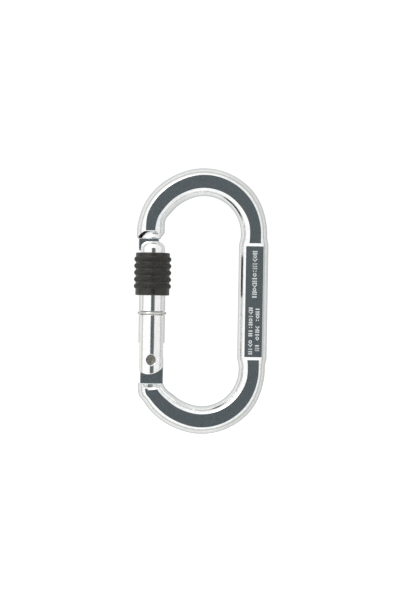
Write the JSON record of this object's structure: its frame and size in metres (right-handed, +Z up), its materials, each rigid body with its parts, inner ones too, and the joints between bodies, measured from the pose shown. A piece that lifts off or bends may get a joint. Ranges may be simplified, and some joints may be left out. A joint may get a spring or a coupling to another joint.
{
  "type": "screw-lock carabiner",
  "caption": "Oval screw-lock carabiner: a bar frame with pressed spine panels, a sprung gate hinged on a rivet, and a knurled sleeve that screws up over the nose.",
  "frame": {"origin": "where the load hangs: the middle of the top bow's inner surface, on the frame's middle plane", "axes": "+Z up the long axis as the carabiner hangs, +X from the gate to the spine, +Y from the front face to the rear face"},
  "size_m": [0.0554, 0.0154, 0.11],
  "materials": {
    "polished_frame": "bright polished",
    "polished_gate": "bright polished",
    "rivet_steel": "rough cut end",
    "pin_steel": "ground",
    "ring_steel": "drawn wire",
    "spring_steel": "drawn wire",
    "plunger_brass": "turned",
    "black_anodised": "black anodised, satin",
    "ring_rubber": "matt"
  },
  "bodies": {
    "frame": {"frame": "polished_frame"},
    "gate": {"gate_body": "polished_gate", "hinge_rivet": "rivet_steel", "latch_pin": "pin_steel", "stop_ring": "ring_steel", "gate_spring": "spring_steel"},
    "plunger": {"spring_plunger": "plunger_brass"},
    "sleeve_ring": {"sleeve_friction_ring": "ring_rubber"},
    "sleeve": {"locking_sleeve": "black_anodised"}
  },
  "joints": [
    {"name": "gate_swing", "type": "hinge", "parent": "frame", "child": "gate", "pos_m": [-0.0207, 0, -0.06805], "axis": [0, 1, 0], "range_deg": [0, 30], "stiffness_Nm_per_rad": 0.3, "springref_deg": -45.84},
    {"name": "plunger_slide", "type": "slide", "parent": "gate", "child": "plunger", "axis": [0, 0, 1], "range_m": [0, 0.00064], "deforming": ["gate_spring"]},
    {"name": "sleeve_travel", "type": "slide", "parent": "gate", "child": "sleeve_ring", "axis": [0, 0, 1], "range_m": [-0.0064, 0.0059]},
    {"name": "sleeve_turn", "type": "hinge", "parent": "sleeve_ring", "child": "sleeve", "pos_m": [-0.0207, 0, -0.0335], "axis": [0, 0, 1], "range_deg": [-1540, 1420]}
  ],
  "couplings": [
    {"joint": "plunger_slide", "follows": "gate_swing", "m_per_rad": 0.001211},
    {"joint": "sleeve_turn", "follows": "sleeve_travel", "rad_per_m": 4188.8}
  ]
}
